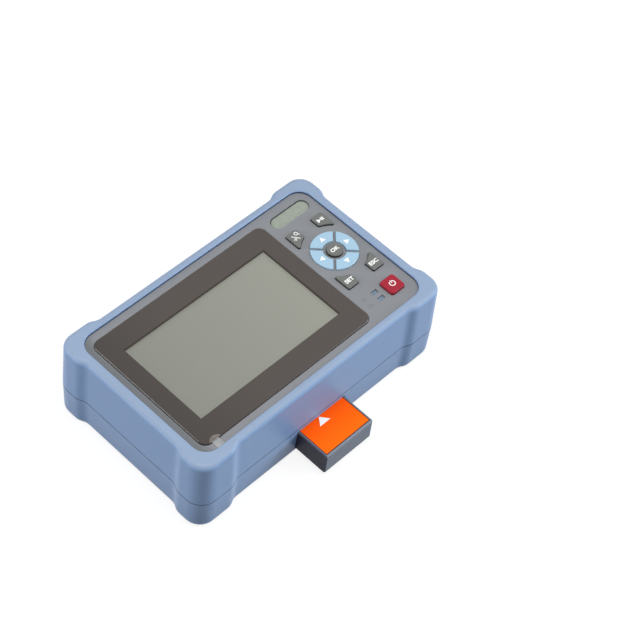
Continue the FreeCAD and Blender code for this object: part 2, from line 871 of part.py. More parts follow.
def make_keypad_mat():
    inset = post_inset + post_radius + mat_post_gap
    mat = box(pad_x - key_board_left + mat_inset, pad_x + key_board_right - mat_inset,
              key_board_low + inset, key_board_high - inset, key_board_top, mat_top)
    half = pill_width / 2
    pills = []
    for block, _ in keys.values():
        middle = block(0, flange_base, flange_top).Solids[0].CenterOfMass
        pills.append(box(middle.x - half, middle.x + half, middle.y - half, middle.y + half,
                         key_board_top, pill_top))
    return mat.multiFuse(pills).removeSplitter()


standoff_points = [(glass_x + x, y) for x, y in
                   corners(lcd_length / 2 - standoff_inset_end, lcd_width / 2 - standoff_inset_side)]


def make_main_board():
    board = box(-main_board_half_length, main_board_half_length, main_board_front, main_board_back,
                main_board_base, main_board_top)
    for x, y in standoff_points:
        board = board.cut(post(screw_radius, x, y, main_board_base - 1, main_board_top + 1))
    for x in adapter_x:
        hole = pigtail_landing(x)
        board = board.cut(box(hole - pigtail_slot / 2, hole + pigtail_slot / 2,
                              pigtail_turn_y - pigtail_slot / 2, main_board_back + 1,
                              main_board_base - 1, main_board_top + 1))
    return board


def make_standoff(x, y):
    """Hexagonal spacer between the main board and the display tray."""
    turns = [math.radians(angle) for angle in range(0, 360, 60)]
    points = [(x + standoff_radius * math.cos(a), y + standoff_radius * math.sin(a)) for a in turns]
    return prism(points, main_board_top, tray_base)


def board_part(x, y, length, width, height):
    return rounded_block(x, y, length, width, can_round, main_board_top, main_board_top + height)


def make_board_parts():
    return [board_part(can_x, can_y, can_length, can_width, can_height),
            board_part(memory_x, memory_y, memory_length, memory_width, memory_height),
            board_part(power_can_x, power_can_y, power_can_length, power_can_width, power_can_height),
            board_part(plug_x, plug_y, plug_length, plug_width, plug_height)]


def make_buzzer():
    top = main_board_top + buzzer_height
    body = post(buzzer_radius, buzzer_x, buzzer_y, main_board_top, top)
    return body.cut(post(buzzer_hole, buzzer_x, buzzer_y, top - buzzer_hole_depth, top + 1))


# ---------------------------------------------------------------- battery and optical engine
def make_battery_pack():
    """Round cells side by side in one shrunk wrap."""
    z = floor + cell_radius
    cells = [rod_y(cell_radius, -battery_length / 2, battery_length / 2,
                   battery_right - cell_radius * (2 * n + 1), z) for n in range(cell_count)]
    filler = box(battery_left + cell_radius, battery_right - cell_radius,
                 -battery_length / 2, battery_length / 2,
                 z - cell_radius * battery_filler, z + cell_radius * battery_filler)
    return fuse_all(cells + [filler])


def make_battery_strap():
    top = battery_top
    half = battery_length / 2
    outer = half + strap_thickness
    low = battery_middle - strap_width / 2
    high = battery_middle + strap_width / 2
    band = box(low, high, -outer, outer, top, top + strap_thickness)
    legs = []
    for side in (-1, 1):
        near, far = sorted((side * half, side * outer))
        legs.append(box(low, high, near, far, floor, top + strap_thickness))
        near, far = sorted((side * half, side * (outer + strap_foot)))
        legs.append(box(low, high, near, far, floor, floor + strap_thickness))
    return fuse_all([band] + legs)


def make_optical_engine():
    """Cast box with cooling slots across its lid, under the fibre coil."""
    body = rounded_block(engine_x, 0, engine_right - engine_left, engine_width, engine_round,
                         floor, engine_top)
    for n in range(fin_count):
        y = (n - (fin_count - 1) / 2) * fin_pitch
        body = body.cut(box(engine_left + fin_inset, engine_right - fin_inset, y - fin_slot / 2,
                            y + fin_slot / 2, engine_top - fin_depth, engine_top + 1))
    return body


def make_fibre_coil():
    ring = post(coil_radius, engine_x, 0, engine_top, engine_top + coil_height)
    return ring.cut(post(coil_radius - coil_width, engine_x, 0, engine_top - 1,
                         engine_top + coil_height + 1))


# ---------------------------------------------------------------- wiring
def make_battery_lead(side):
    """Lead from the end of a cell up to the board, under the plug."""
    x = plug_x + side * lead_pitch / 2
    cell_z = floor + cell_radius
    points = [(x, -battery_length / 2, cell_z), (x, plug_y, cell_z), (x, plug_y, main_board_base)]
    return lead(points, lead_radius)


def make_pigtail(x):
    """Fibre from an adapter's tail, down past the board, to the optical engine's lid."""
    landing = pigtail_landing(x)
    points = [(x, tail_end_y, adapter_z), (x, pigtail_turn_y, adapter_z)]
    if landing > x:
        points.append((landing, pigtail_turn_y, adapter_z))
    points.append((landing, pigtail_turn_y, engine_top))
    return lead(points, pigtail_radius)


def make_flex(x, y, width, z0, z1):
    """Flat cable between two boards, with a foot on the lower and a lip under the upper."""
    far = y + flex_thickness
    points = [(y, z0), (y + flex_foot, z0), (y + flex_foot, z0 + flex_thickness), (far, z0 + flex_thickness),
              (far, z1), (far - flex_foot, z1), (far - flex_foot, z1 - flex_thickness),
              (y, z1 - flex_thickness)]
    return profile_x(points, x - width / 2, x + width / 2)


# ---------------------------------------------------------------- electrical sockets
def jack_cutout():
    return box(jack_x - jack_width / 2 - socket_gap, jack_x + jack_width / 2 + socket_gap,
               recess_floor_y - recess_wall - 1, recess_floor_y + 1,
               main_board_top - socket_gap, main_board_top + jack_height + socket_gap)


def usb_cutout():
    return box(usb_x - usb_width / 2 - socket_gap, usb_x + usb_width / 2 + socket_gap,
               recess_floor_y - recess_wall - 1, recess_floor_y + 1,
               main_board_top - socket_gap, main_board_top + usb_height + socket_gap)


def charge_cutout():
    return box(charge_x - charge_size / 2 - socket_gap, charge_x + charge_size / 2 + socket_gap,
               recess_floor_y - recess_wall - 1, recess_floor_y + 1,
               main_board_top - socket_gap, main_board_top + charge_height + socket_gap)


def jack_hollow(x, front, step, base):
    """Mouth of an eight-way modular jack with its latch slot on the low side."""
    low_y, high_y = sorted((front + step, front - step * jack_mouth_depth))
    mouth_base = base + jack_wall + jack_latch_height
    mouth = box(x - jack_mouth_width / 2, x + jack_mouth_width / 2, low_y, high_y,
                mouth_base, mouth_base + jack_mouth_height)
    latch = box(x - jack_latch_width / 2, x + jack_latch_width / 2, low_y, high_y,
                mouth_base - jack_latch_height, mouth_base + 1)
    return mouth.fuse(latch)


def make_test_jack():
    body = box(jack_x - jack_width / 2, jack_x + jack_width / 2, socket_back, socket_front,
               main_board_top, main_board_top + jack_height)
    return body.cut(jack_hollow(jack_x, socket_front, 1, main_board_top)).removeSplitter()


def make_jack_contacts():
    """Spring contacts that slope down from the roof of the test jack's mouth."""
    roof = main_board_top + jack_wall + jack_latch_height + jack_mouth_height
    front = socket_front - contact_start
    back = front - contact_run
    points = [(front, roof), (front - 2 * contact_size, roof), (back - 2 * contact_size, roof - contact_drop),
              (back, roof - contact_drop)]
    first = jack_x - contact_pitch * (contact_count - 1) / 2
    middles = [first + contact_pitch * n for n in range(contact_count)]
    return [profile_x(points, x - contact_size / 2, x + contact_size / 2) for x in middles]


def capsule_y(x, z, width, height, y0, y1):
    """Bar along Y with a flat-oval section."""
    reach = (width - height) / 2
    middle = box(x - reach, x + reach, y0, y1, z - height / 2, z + height / 2)
    return fuse_all([middle] + [rod_y(height / 2, y0, y1, x + side * reach, z) for side in (-1, 1)])


def make_usb_socket():
    z = main_board_top + usb_height / 2
    mouth_back = socket_front - usb_mouth_depth
    shell = capsule_y(usb_x, z, usb_width, usb_height, socket_back, socket_front)
    shell = shell.cut(capsule_y(usb_x, z, usb_width - 2 * usb_wall, usb_height - 2 * usb_wall,
                                mouth_back, socket_front + 1))
    tongue = box(usb_x - usb_tongue_width / 2, usb_x + usb_tongue_width / 2, mouth_back - mouth_step,
                 socket_front - mouth_step, z - usb_tongue / 2, z + usb_tongue / 2)
    return shell.fuse(tongue).removeSplitter()


def make_charge_socket():
    body = box(charge_x - charge_size / 2, charge_x + charge_size / 2, socket_back, socket_front,
               main_board_top, main_board_top + charge_height)
    z = main_board_top + charge_height / 2
    bore_back = socket_front - charge_depth
    body = body.cut(rod_y(charge_radius, bore_back, socket_front + 1, charge_x, z))
    pin = rod_y(charge_pin, bore_back - mouth_step, socket_front - mouth_step, charge_x, z)
    return body.fuse(pin).removeSplitter()


# ---------------------------------------------------------------- optical adapters
def make_adapter_plate():
    low, high = recess_span(1)
    plate = box(low + door_gap, high - door_gap, recess_floor_y, recess_floor_y + adapter_plate,
                recess_base + door_gap, recess_top - door_gap)
    for x in adapter_x:
        plate = plate.cut(rod_y(tail_radius + socket_gap, recess_floor_y - 1,
                                recess_floor_y + adapter_plate + 1, x, adapter_z))
    return plate


def make_adapter(x, outer, thin_wall):
    """Square flange, barrel and ferrule sleeve on one axis along Y."""
    seat = recess_floor_y + adapter_plate
    half = adapter_flange / 2
    flange = box(x - half, x + half, seat, seat + adapter_flange_thickness,
                 adapter_z - half, adapter_z + half)
    barrel = rod_y(outer, seat + adapter_overlap, socket_front, x, adapter_z)
    tail = rod_y(tail_radius, tail_end_y, seat + adapter_overlap, x, adapter_z)
    body = fuse_all([flange, barrel, tail])
    if thin_wall > 0:
        face = seat + adapter_flange_thickness
        gap = rod_y(outer - thin_wall, face, socket_front + 1, x, adapter_z)
        gap = gap.cut(rod_y(sleeve_radius, face - 1, socket_front + 2, x, adapter_z))
        body = body.cut(gap)
        body = body.cut(box(x - adapter_key / 2, x + adapter_key / 2, face + 1, socket_front + 1,
                            adapter_z + sleeve_radius + adapter_key_rise, adapter_z + outer + 1))
    return body.cut(rod_y(ferrule_radius, tail_end_y + ferrule_back_wall, socket_front + 1, x, adapter_z))


# ---------------------------------------------------------------- socket doors
def make_door(side):
    low, high = recess_span(side)
    low, high = low + door_gap, high - door_gap
    front = door_axis_y + door_thickness / 2
    back = door_axis_y - door_thickness / 2
    top = recess_top - door_gap
    leaf = box(low, high, back, front, door_axis_z, top)
    knuckle = rod_x(door_thickness / 2, low, high, door_axis_y, door_axis_z)
    middle = (low + high) / 2
    root = front - grip_root
    grip = profile_x([(root, top), (front + grip_out, top), (front, top - grip_height),
                      (root, top - grip_height)], middle - grip_width / 2, middle + grip_width / 2)
    door = fuse_all([leaf, knuckle, grip])
    return door.cut(door_pin(side, door_pin_radius + pin_clearance, pin_bite))


# ---------------------------------------------------------------- remote terminator
def make_remote_case():
    half = remote_width / 2
    case = box(-half, half, remote_front, remote_back, remote_base, remote_top)
    case = case.makeChamfer(remote_edge, [e for e in case.Edges if e.BoundBox.YLength > tolerance
                                          or e.BoundBox.YMin < remote_front + tolerance])
    case = case.cut(box(-half + remote_wall, half - remote_wall, remote_front + remote_wall,
                        remote_back + 1, remote_base + remote_wall, remote_top - remote_wall))
    label_seat = box(-half + label_border, half - label_border, remote_front + label_border,
                     remote_front + label_border + label_length, remote_top - label_thickness, remote_top + 1)
    return case.cut(label_seat)


def make_remote_label():
    half = remote_width / 2 - label_border - label_gap
    near = remote_front + label_border
    return box(-half, half, near + label_gap, near + label_length - label_gap,
               remote_top - label_thickness, remote_top)


def make_remote_jack():
    body = box(-jack_width / 2, jack_width / 2, remote_back - remote_jack_depth, remote_back,
               remote_jack_base, remote_top - remote_wall - remote_fit)
    hollow = jack_hollow(0, remote_back, 1, remote_jack_base - jack_wall + remote_jack_floor)
    return body.cut(hollow).removeSplitter()


def make_remote_end():
    plate = box(-remote_inner_half, remote_inner_half, remote_back - remote_end_thickness, remote_back,
                remote_jack_base, remote_top - remote_wall - remote_fit)
    half = jack_width / 2 + remote_fit
    return plate.cut(box(-half, half, remote_back - remote_end_thickness - 1, remote_back + 1,
                         remote_base, remote_top))


def make_remote_board():
    back = remote_back - remote_jack_depth - remote_fit
    top = remote_board_base + remote_board_thickness
    board = box(-remote_inner_half, remote_inner_half, remote_front + remote_wall + remote_gap, back,
                remote_board_base, top)
    chip_back = back - remote_chip_inset
    chip = box(-remote_chip_size / 2, remote_chip_size / 2, chip_back - remote_chip_size, chip_back,
               top, top + remote_chip_height)
    return board.fuse(chip)


# ---------------------------------------------------------------- tilt stand
def make_stand():
    half_thickness = stand_thickness / 2
    plate = box(-stand_half_width, stand_half_width, stand_front, stand_axis_y,
                stand_axis_z - half_thickness, stand_axis_z + half_thickness)
    knuckle = rod_x(half_thickness, -stand_half_width, stand_half_width, stand_axis_y, stand_axis_z)
    stand = plate.fuse(knuckle).removeSplitter()
    for n in range(stand_groove_count):
        y = stand_front + stand_groove_start + n * stand_groove_pitch
        stand = stand.cut(rod_x(stand_groove, -stand_half_width + stand_groove_inset,
                                stand_half_width - stand_groove_inset, y, stand_axis_z - half_thickness))
    return stand.cut(stand_pin(stand_pin_radius + pin_clearance, 0))


# ---------------------------------------------------------------- write every piece
os.makedirs("parts", exist_ok=True)

save("upper_housing", make_upper_housing())
save("lower_housing", make_lower_housing())
save("seam_gasket", make_seam_gasket())
save("housing_screws", *[make_housing_screw(x, y) for x, y in corners(screw_x, screw_y)])
save("front_panel", make_front_panel())
save("touch_glass", make_touch_glass())
save("display_mask", make_display_mask())
save("lcd_module", make_lcd_module())
save("lcd_tray", make_lcd_tray())
save("film_tab", make_film_tab())
save("nameplate", make_nameplate())
save("status_lights", *[make_status_light(y) for y in light_rows])
for name, (block, proud) in keys.items():
    save(name, make_key(block, proud))
save("key_board", make_key_board())
save("keypad_mat", make_keypad_mat())
save("main_board", make_main_board())
save("board_standoffs", *[make_standoff(x, y) for x, y in standoff_points])
save("board_parts", *make_board_parts())
save("buzzer", make_buzzer())
save("battery_pack", make_battery_pack())
save("battery_strap", make_battery_strap())
save("optical_engine", make_optical_engine())
save("fibre_coil", make_fibre_coil())
save("battery_leads", *[make_battery_lead(side) for side in (-1, 1)])
save("fibre_pigtails", *[make_pigtail(x) for x in adapter_x])
save("display_flex", make_flex(glass_x, display_flex_y, display_flex_width, main_board_top, lcd_base))
save("key_flex", make_flex(key_flex_x, key_flex_y, key_flex_width, main_board_top,
                           key_board_top - board_thickness))
save("cable_test_jack", make_test_jack())
save("jack_contacts", *make_jack_contacts())
save("usb_socket", make_usb_socket())
save("charge_socket", make_charge_socket())
save("adapter_plate", make_adapter_plate())
save("otdr_adapter", make_adapter(adapter_x[0], otdr_outer, otdr_wall))
save("power_meter_adapter", make_adapter(adapter_x[1], meter_outer, meter_wall))
save("fault_locator_adapter", make_adapter(adapter_x[2], locator_outer, 0))
save("electrical_door", make_door(-1))
save("optical_door", make_door(1))
save("electrical_door_pin", door_pin(-1, door_pin_radius, pin_bite))
save("optical_door_pin", door_pin(1, door_pin_radius, pin_bite))
save("tilt_stand", make_stand())
save("stand_pin", stand_pin(stand_pin_radius, pin_bite))
save("remote_case", make_remote_case())
save("remote_label", make_remote_label())
save("remote_jack", make_remote_jack())
save("remote_end", make_remote_end())
save("remote_board", make_remote_board())
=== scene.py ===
import json
import math

import bmesh
import bpy
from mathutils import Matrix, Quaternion, Vector


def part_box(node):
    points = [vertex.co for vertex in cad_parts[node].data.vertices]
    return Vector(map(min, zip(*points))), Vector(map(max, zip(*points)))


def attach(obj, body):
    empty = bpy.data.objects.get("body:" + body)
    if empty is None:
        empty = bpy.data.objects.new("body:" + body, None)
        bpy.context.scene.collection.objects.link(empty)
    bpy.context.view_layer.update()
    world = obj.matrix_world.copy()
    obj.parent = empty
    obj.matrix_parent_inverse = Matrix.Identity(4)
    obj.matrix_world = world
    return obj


# Looks for the handheld fibre tester: a finish for every CAD node, the marks on its keys, label and
# panel, a pale floor, soft light and the camera. Metres, +Z up.

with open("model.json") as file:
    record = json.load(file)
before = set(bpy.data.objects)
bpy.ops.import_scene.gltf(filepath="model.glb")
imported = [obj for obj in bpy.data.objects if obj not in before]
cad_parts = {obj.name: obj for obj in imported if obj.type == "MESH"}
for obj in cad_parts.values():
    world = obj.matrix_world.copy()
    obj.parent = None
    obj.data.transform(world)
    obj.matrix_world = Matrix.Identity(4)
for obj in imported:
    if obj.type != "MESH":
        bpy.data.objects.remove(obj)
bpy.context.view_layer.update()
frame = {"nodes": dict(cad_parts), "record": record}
scene = bpy.context.scene
MM = 0.001

# where finishes change over the surface of a piece
BORDER_END = 10.0 * MM          # printed border of the glass, at its short sides
BORDER_SIDE = 13.0 * MM         # and at its long sides
BORDER_BROWN = (72, 66, 62)
SEAM_LINE = 0.4 * MM            # painted shade in a dark line each side of the seam between the housings
RIM_LINE = 0.8 * MM             # painted shade in a dark line each side of the panel's height, where the rim meets it
RIM_GAP = 0.6 * MM              # how far that line reaches past the panel's edge
LABEL_EDGE = 0.45 * MM          # painted shade in a dark line at the label's front and sides
PICTURE_CELL = 0.3 * MM         # grid of the display
PICTURE_GAP = 0.02 * MM
PANEL_FADE = (3.0 * MM, 8.0 * MM)   # from the panel's end of painted shade, where it starts and ends to pale
GLASS_FADE = 45.0 * MM          # length of the painted shade at the printed border's end

# how much of the darker colour shows: painted shade at the foot, seam and rim, and the display's grid
FOOT_SHADE, SEAM_SHADE, RIM_SHADE, PICTURE_SHADE = 0.22, 0.5, 0.8, 0.12

# noise is read between two levels, and directions between two steepnesses
NOISE_LOW, NOISE_HIGH = 0.3, 0.7
FACING = (0.3, 0.9)             # how squarely a face has to look one way to take its painted shading
BEVEL = (0.2, 0.6)              # the same for the nameplate's slanted edge and its painted shade and highlight
DRIFT_SCALE, WAVE_SCALE, ROUGH_SCALE = 22, 35, 260
WAVE_DEPTH = 0.04 * MM
SCRATCH_DEPTH = 0.004 * MM


# ---------------------------------------------------------------- colours and node helpers
def linear(red, green, blue):
    """Linear colour of an 8-bit display colour."""
    def one(level):
        level /= 255
        return level / 12.92 if level <= 0.04045 else ((level + 0.055) / 1.055) ** 2.4
    return (one(red), one(green), one(blue), 1.0)


def scaled(colour, factor):
    """Colour times one factor, or times one for each of red, green and blue."""
    factors = factor if isinstance(factor, tuple) else (factor,) * 3
    return tuple(min(1.0, c * f) for c, f in zip(colour, factors)) + (1.0,)


class Finish:
    """One procedural material around a Principled shader, in object space."""

    def __init__(self, name):
        self.material = bpy.data.materials.new(name)
        self.material.use_nodes = True
        self.tree = self.material.node_tree
        self.shader = self.tree.nodes["Principled BSDF"]
        self.coordinates = self.node("ShaderNodeTexCoord")
        self.place = self.coordinates.outputs["Object"]
        self.base = None
        self.normal = None

    def node(self, kind, **settings):
        made = self.tree.nodes.new(kind)
        for key, value in settings.items():
            setattr(made, key, value)
        return made

    def link(self, source, target):
        self.tree.links.new(source, target)

    def set(self, **values):
        for key, value in values.items():
            self.shader.inputs[key.replace("_", " ")].default_value = value

    def stretched(self, factors):
        mapping = self.node("ShaderNodeMapping")
        mapping.inputs["Scale"].default_value = factors
        self.link(self.place, mapping.inputs["Vector"])
        return mapping.outputs["Vector"]

    def noise(self, scale, detail=2.0, roughness=0.5, vector=None):
        made = self.node("ShaderNodeTexNoise")
        made.inputs["Scale"].default_value = scale
        made.inputs["Detail"].default_value = detail
        made.inputs["Roughness"].default_value = roughness
        self.link(vector or self.place, made.inputs["Vector"])
        return made.outputs["Fac"]

    def spread(self, value, low, high, start=NOISE_LOW, end=NOISE_HIGH):
        """From low to high while the value goes from start to end."""
        made = self.node("ShaderNodeMapRange")
        made.inputs["From Min"].default_value = start
        made.inputs["From Max"].default_value = end
        made.inputs["To Min"].default_value = low
        made.inputs["To Max"].default_value = high
        self.link(value, made.inputs["Value"])
        return made.outputs["Result"]

    def fade(self, value, start=NOISE_LOW, end=NOISE_HIGH):
        """From 0 to 1 while the value goes from start to end."""
        return self.spread(value, 0.0, 1.0, start, end)

    def blend(self, factor, first, second):
        """First colour where the factor is 0, second where it is 1."""
        made = self.node("ShaderNodeMix", data_type="RGBA")
        self.link(factor, made.inputs[0])
        for socket, value in ((made.inputs[6], first), (made.inputs[7], second)):
            if isinstance(value, tuple):
                socket.default_value = value
            else:
                self.link(value, socket)
        return made.outputs[2]

    def along(self, axis, normal=False):
        """Object-space place, or the surface's direction, along X, Y or Z."""
        parts = self.node("ShaderNodeSeparateXYZ")
        self.link(self.coordinates.outputs["Normal"] if normal else self.place, parts.inputs[0])
        return parts.outputs[axis]

    def math(self, operation, first, second=None):
        made = self.node("ShaderNodeMath", operation=operation)
        for socket, value in zip(made.inputs, (first, second)):
            if isinstance(value, (int, float)):
                socket.default_value = value
            elif value is not None:
                self.link(value, socket)
        return made.outputs[0]

    def within(self, **stretches):
        """1 inside every stretch given as X, Y or Z = (low, high), and 0 outside any of them."""
        outside = None
        for axis, (low, high) in stretches.items():
            offset = self.math("ABSOLUTE", self.math("SUBTRACT", self.along(axis), (low + high) / 2))
            past = self.math("SUBTRACT", offset, (high - low) / 2)
            outside = past if outside is None else self.math("MAXIMUM", outside, past)
        return self.math("LESS_THAN", outside, 0.0)

    def unshaded(self):
        """1 for every ray but those that look for shadow."""
        rays = self.node("ShaderNodeLightPath")
        return self.math("SUBTRACT", 1.0, rays.outputs["Is Shadow Ray"])

    def colour(self, output):
        self.base = output
        self.link(output, self.shader.inputs["Base Color"])

    def rough(self, output):
        self.link(output, self.shader.inputs["Roughness"])

    def bump(self, height, distance, strength=1.0):
        """Relief over whatever relief the finish has already."""
        made = self.node("ShaderNodeBump")
        made.inputs["Distance"].default_value = distance
        made.inputs["Strength"].default_value = strength
        self.link(height, made.inputs["Height"])
        if self.normal is not None:
            self.link(self.normal, made.inputs["Normal"])
        self.normal = made.outputs["Normal"]
        self.link(self.normal, self.shader.inputs["Normal"])


def moulded(name, colour, rough=0.42, variation=0.05, grain=1500, grain_depth=0.01 * MM, specular=0.5,
            side=1.0, flank=1.0):
    """Moulded plastic of an 8-bit colour: fine eroded grain, slow waviness and a faint drift of colour.

    side tints the faces that don't look up, and flank those that look along X: both are painted light and
    shade."""
    made = Finish(name)
    colour = linear(*colour)
    drift = made.fade(made.noise(DRIFT_SCALE, 3))
    base = made.blend(drift, scaled(colour, 1 - variation), scaled(colour, 1 + variation))
    # painted light and shade on the faces that don't look up, by the side tint
    if side != 1.0:
        upward = made.fade(made.along("Z", normal=True), *FACING)
        base = made.blend(upward, scaled(colour, side), base)
    # painted shade on the faces that look along X, by the flank tint
    if flank != 1.0:
        painted_flank_shade = made.fade(made.math("ABSOLUTE", made.along("X", normal=True)), *FACING)
        base = made.blend(painted_flank_shade, base, scaled(colour, flank))
    made.colour(base)
    made.rough(made.spread(made.noise(ROUGH_SCALE, 4, 0.6), rough - 0.05, rough + 0.05))
    made.bump(made.noise(WAVE_SCALE, 1), WAVE_DEPTH, 0.5)
    made.bump(made.noise(grain, 3, 0.6), grain_depth)
    made.set(Specular_IOR_Level=specular)
    return made


def metal(name, colour, rough=0.3, direction=(1, 1, 1), scratch=900, variation=0.08):
    """Metal of an 8-bit colour with marks drawn out along one direction."""
    made = Finish(name)
    colour = linear(*colour)
    lines = made.noise(scratch, 3, 0.6, made.stretched(direction))
    made.colour(made.blend(made.fade(lines), scaled(colour, 1 - variation), scaled(colour, 1 + variation)))
    made.rough(made.spread(made.noise(120, 3), rough - 0.08, rough + 0.08))
    made.bump(lines, SCRATCH_DEPTH)
    made.set(Metallic=1.0)
    return made


# ---------------------------------------------------------------- finishes by slot
plastics = {
    "gasket_black": dict(colour=(28, 34, 48), rough=0.7, variation=0.1),
    "circuit_green": dict(colour=(34, 92, 58), rough=0.35, variation=0.12, grain=700,
                          grain_depth=0.02 * MM),
    "mat_grey": dict(colour=(176, 176, 172), rough=0.6, variation=0.04),
    "black_plastic": dict(colour=(34, 34, 37), rough=0.45, variation=0.1),
    "battery_wrap": dict(colour=(38, 96, 150), rough=0.3, grain=500, grain_depth=0.03 * MM),
    "lead_red": dict(colour=(176, 34, 30), rough=0.5, variation=0.06),
    "flex_amber": dict(colour=(170, 106, 40), rough=0.35, variation=0.06),
    "fibre_yellow": dict(colour=(236, 196, 62), rough=0.4, variation=0.08, grain=900,
                         grain_depth=0.04 * MM),
    "key_pale_blue": dict(colour=(153, 185, 206), variation=0.03, grain=2000),
    # side paints shade on the sides of the dark and red keys
    "key_dark": dict(colour=(103, 105, 102), rough=0.45, variation=0.03, grain=2000, specular=0.3,
                     side=0.12),
    "key_red": dict(colour=(152, 38, 53), rough=0.45, variation=0.03, grain=2000, specular=0.15,
                    side=0.75),
    # side paints shade on the remote's faces that don't look up, and flank a deeper painted shade on those
    # that look along X
    "remote_grey": dict(colour=(128, 133, 142), rough=0.45, variation=0.04, specular=0.14,
                        side=(0.79, 0.84, 0.92), flank=(0.12, 0.1, 0.17)),
    "stand_grey": dict(colour=(70, 74, 84), rough=0.5),
    "door_rubber": dict(colour=(52, 56, 66), rough=0.6, variation=0.06, grain=1200,
                        grain_depth=0.02 * MM),
}
metals = {
    "tray_steel": dict(colour=(170, 172, 176), rough=0.35, direction=(1, 12, 1)),
    "screw_steel": dict(colour=(120, 122, 126), rough=0.35, direction=(1, 1, 20)),
    "brass_plain": dict(colour=(214, 178, 106)),
    "shield_tin": dict(colour=(188, 190, 192), rough=0.35, direction=(1, 10, 1)),
    "engine_aluminium": dict(colour=(176, 178, 180), rough=0.45, scratch=500),
    "contact_gold": dict(colour=(228, 192, 112), rough=0.26),
    "adapter_metal": dict(colour=(196, 198, 200), rough=0.28, direction=(1, 14, 1)),
}


def make_housing():
    """Blue moulding with painted shade towards its foot, along the seam and where the rim meets the panel,
    and painted light that tints its walls bluer than its top.
    """
    # side paints the walls bluer than the top: painted light
    made = moulded("housing_blue", (136, 154, 179), rough=0.38, variation=0.03, grain=1300,
                   grain_depth=0.012 * MM, specular=0.24, side=(0.94, 1.11, 1.33))
    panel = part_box("front_panel")[1]
    seam = (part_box("upper_housing")[0].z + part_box("lower_housing")[1].z) / 2
    # painted shade, darker towards the foot
    foot = made.spread(made.along("Z"), FOOT_SHADE, 0.0, start=0.0, end=seam)
    shade = made.blend(foot, made.base, linear(40, 56, 94))
    # painted shade in a line each side of the seam
    painted_seam_shade = made.within(Z=(seam - SEAM_LINE, seam + SEAM_LINE))
    shade = made.blend(made.math("MULTIPLY", painted_seam_shade, SEAM_SHADE), shade, linear(40, 52, 80))
    # painted shade in a line where the rim meets the panel
    end, side = panel.x + RIM_GAP, panel.y + RIM_GAP
    painted_rim_shade = made.within(X=(-end, end), Y=(-side, side), Z=(panel.z - RIM_LINE, panel.z + RIM_LINE))
    made.colour(made.blend(made.math("MULTIPLY", painted_rim_shade, RIM_SHADE), shade, linear(30, 40, 70)))
    return made


def make_panel():
    """Grey panel with painted shade along its end by the display."""
    made = moulded("panel_grey", (122, 124, 128), rough=0.5, variation=0.02, grain=2200, specular=0.4)
    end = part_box("front_panel")[0].x
    # painted shade along the end by the display
    away = made.fade(made.along("X"), end + PANEL_FADE[0], end + PANEL_FADE[1])
    made.colour(made.blend(away, linear(100, 103, 106), made.base))
    return made


def make_mask():
    """Printed border under the glass. It casts no shade on the display just below it."""
    made = moulded("mask_brown", BORDER_BROWN, rough=0.3, variation=0.02, grain=2600,
                   grain_depth=0.002 * MM, specular=0.3)
    made.link(made.unshaded(), made.shader.inputs["Alpha"])
    return made


def make_lcd():
    """Unlit reflective display: olive grey under a fine grid of picture cells, with painted light that
    makes it paler towards the keys.
    """
    made = Finish("lcd_grey")
    low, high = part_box("lcd_module")
    # painted light, paler towards the keys along X
    drift = made.fade(made.along("X"), low.x, high.x)
    base = made.blend(drift, linear(123, 124, 115), linear(138, 139, 129))
    grid = made.node("ShaderNodeTexBrick", offset=0.0)
    grid.inputs["Scale"].default_value = 1.0
    grid.inputs["Brick Width"].default_value = PICTURE_CELL
    grid.inputs["Row Height"].default_value = PICTURE_CELL
    grid.inputs["Mortar Size"].default_value = PICTURE_GAP
    made.link(made.place, grid.inputs["Vector"])
    gaps = made.math("MULTIPLY", grid.outputs["Fac"], PICTURE_SHADE)
    made.colour(made.blend(gaps, base, linear(112, 113, 105)))
    made.rough(made.spread(made.noise(300, 3), 0.18, 0.24))
    return made


def make_glass():
    """Cover glass: clear over the display, with a printed border and edge that cast no shade below, and
    painted shade on the border towards its low X end.
    """
    made = Finish("clear_glass")
    low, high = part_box("touch_glass")
    window = made.within(X=(low.x + BORDER_END, high.x - BORDER_END),
                         Y=(low.y + BORDER_SIDE, high.y - BORDER_SIDE))
    printed = made.math("SUBTRACT", 1.0, window)
    made.link(made.math("MULTIPLY", printed, made.unshaded()), made.shader.inputs["Alpha"])
    brown = linear(*BORDER_BROWN)
    # painted shade on the border towards its low X end
    painted_end_shade = made.fade(made.along("X"), low.x, low.x + GLASS_FADE)
    made.colour(made.blend(painted_end_shade, scaled(brown, 0.72), brown))
    made.rough(made.spread(made.noise(60, 2), 0.16, 0.22))
    made.set(Specular_IOR_Level=0.35)
    return made


def make_film():
    """Pull tab of the film: thin over the glass, doubled into a paler strip beyond its edge."""
    made = Finish("film_white")
    creases = made.noise(240, 4, 0.6)
    crease = made.fade(creases)
    disc = made.blend(crease, linear(92, 86, 79), linear(116, 109, 101))
    strip = made.blend(crease, linear(138, 140, 140), linear(158, 160, 160))
    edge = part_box("touch_glass")[0].y
    made.colour(made.blend(made.math("GREATER_THAN", made.along("Y"), edge), strip, disc))
    made.rough(made.spread(creases, 0.25, 0.4))
    made.bump(creases, 0.05 * MM)
    return made


